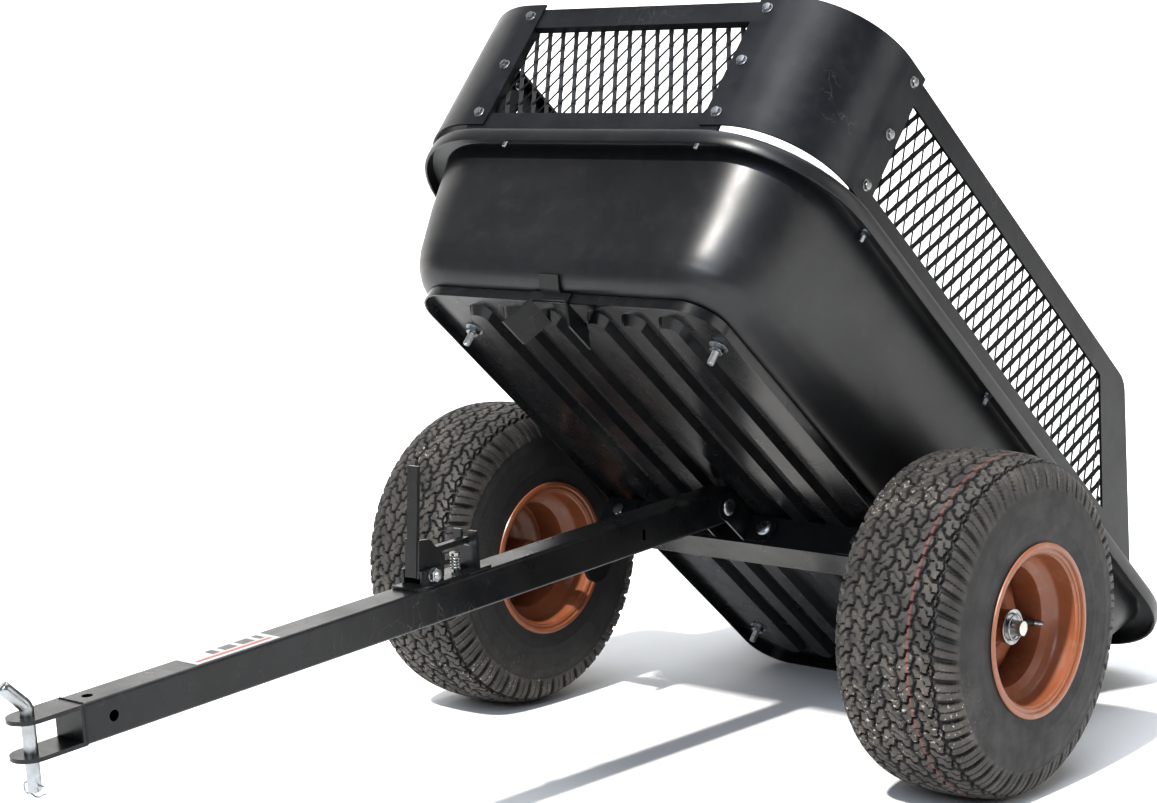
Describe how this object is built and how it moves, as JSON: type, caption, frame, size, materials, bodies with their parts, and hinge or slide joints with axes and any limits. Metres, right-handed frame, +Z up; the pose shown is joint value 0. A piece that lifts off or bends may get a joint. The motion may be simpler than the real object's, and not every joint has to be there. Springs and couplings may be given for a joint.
{
  "type": "tow behind cart",
  "caption": "Two-wheeled tipping tow cart: moulded tub on a ribbed pan, mesh side panels, wide turf tyres, square tongue with pin hitch and latch.",
  "frame": {"origin": "middle of the bounding box in plan, at ground level, with the bed tipped", "axes": "+Z up, -Y towards the hitch (direction of travel), +X the cart's left"},
  "size_m": [1.0384, 1.933, 1.0501],
  "materials": {
    "tub_plastic": "satin black moulded polyethylene",
    "pan_steel": "semi-gloss black powder coat",
    "frame_steel": "satin black powder coat",
    "mesh_steel": "black powder coat on expanded metal",
    "tongue_steel": "semi-gloss black powder coat",
    "zinc": "bright zinc plate",
    "tyre": "black rubber with light dust",
    "rim_paint": "semi-gloss copper orange paint",
    "bearing": "plain sintered steel",
    "valve": "black rubber",
    "label": "white printed vinyl"
  },
  "bodies": {
    "tongue": {"tongue_tube": "tongue_steel", "tongue_bushing": "bearing", "hitch_clevis": "tongue_steel", "tongue_label": "label", "latch_bracket": "tongue_steel", "latch_bolt": "zinc", "latch_spring": "zinc", "latch_post": "zinc"},
    "latch_lever": {"latch_lever": "tongue_steel"},
    "hitch_pin": {"hitch_pin": "zinc", "pin_clip": "zinc"},
    "bed": {"tub": "tub_plastic", "base_pan": "pan_steel", "pan_bolts": "zinc", "rail_bolts": "zinc", "front_panel_frame": "frame_steel", "side_panel_frame_left": "frame_steel", "side_panel_frame_right": "frame_steel", "front_mesh": "mesh_steel", "side_mesh_left": "mesh_steel", "side_mesh_right": "mesh_steel", "corner_plate_left": "frame_steel", "corner_plate_right": "frame_steel", "corner_bolts": "zinc", "axle_beam": "tongue_steel", "pivot_bracket_left": "tongue_steel", "pivot_bracket_right": "tongue_steel", "pivot_bolt": "zinc", "pivot_nut": "zinc", "bracket_bolts": "zinc", "axle_hanger_left": "tongue_steel", "axle_hanger_right": "tongue_steel", "hanger_bolts": "zinc", "stub_axle_left": "bearing", "stub_axle_right": "bearing", "axle_washer_left": "zinc", "axle_washer_right": "zinc", "linch_pin_left": "zinc", "linch_pin_right": "zinc", "latch_striker": "tongue_steel"},
    "wheel_left": {"tyre_left": "tyre", "rim_left": "rim_paint", "hub_left": "rim_paint", "bearings_left": "bearing", "valve_left": "valve"},
    "wheel_right": {"tyre_right": "tyre", "rim_right": "rim_paint", "hub_right": "rim_paint", "bearings_right": "bearing", "valve_right": "valve"},
    "ring_left": {"linch_ring_left": "zinc"},
    "ring_right": {"linch_ring_right": "zinc"}
  },
  "joints": [
    {"name": "bed_tip", "type": "hinge", "parent": "tongue", "child": "bed", "pos_m": [0, 0.2511, 0.34553], "axis": [1, 0, 0], "range_deg": [0, 44]},
    {"name": "wheel_left_spin", "type": "hinge", "parent": "bed", "child": "wheel_left", "pos_m": [0.42485, 0.27328, 0.2286], "axis": [1, 0, 0], "continuous": true},
    {"name": "wheel_right_spin", "type": "hinge", "parent": "bed", "child": "wheel_right", "pos_m": [-0.42485, 0.27328, 0.2286], "axis": [1, 0, 0], "continuous": true},
    {"name": "latch_lever_swing", "type": "hinge", "parent": "tongue", "child": "latch_lever", "pos_m": [0, -0.33014, 0.34846], "axis": [1, 0, 0], "range_deg": [0, 18], "stiffness_Nm_per_rad": 2, "springref_deg": -20.05},
    {"name": "hitch_pin_lift", "type": "slide", "parent": "tongue", "child": "hitch_pin", "axis": [0, -0.0604, 0.9982], "range_m": [0, 0.025]},
    {"name": "ring_left_flip", "type": "hinge", "parent": "bed", "child": "ring_left", "pos_m": [0.4809, 0.2871, 0.21871], "axis": [0, 0.5817, 0.8134], "range_deg": [0, 95], "stiffness_Nm_per_rad": 0.02, "springref_deg": -20.05},
    {"name": "ring_right_flip", "type": "hinge", "parent": "bed", "child": "ring_right", "pos_m": [-0.4809, 0.2871, 0.21871], "axis": [0, -0.5817, -0.8134], "range_deg": [0, 95], "stiffness_Nm_per_rad": 0.02, "springref_deg": -20.05}
  ]
}
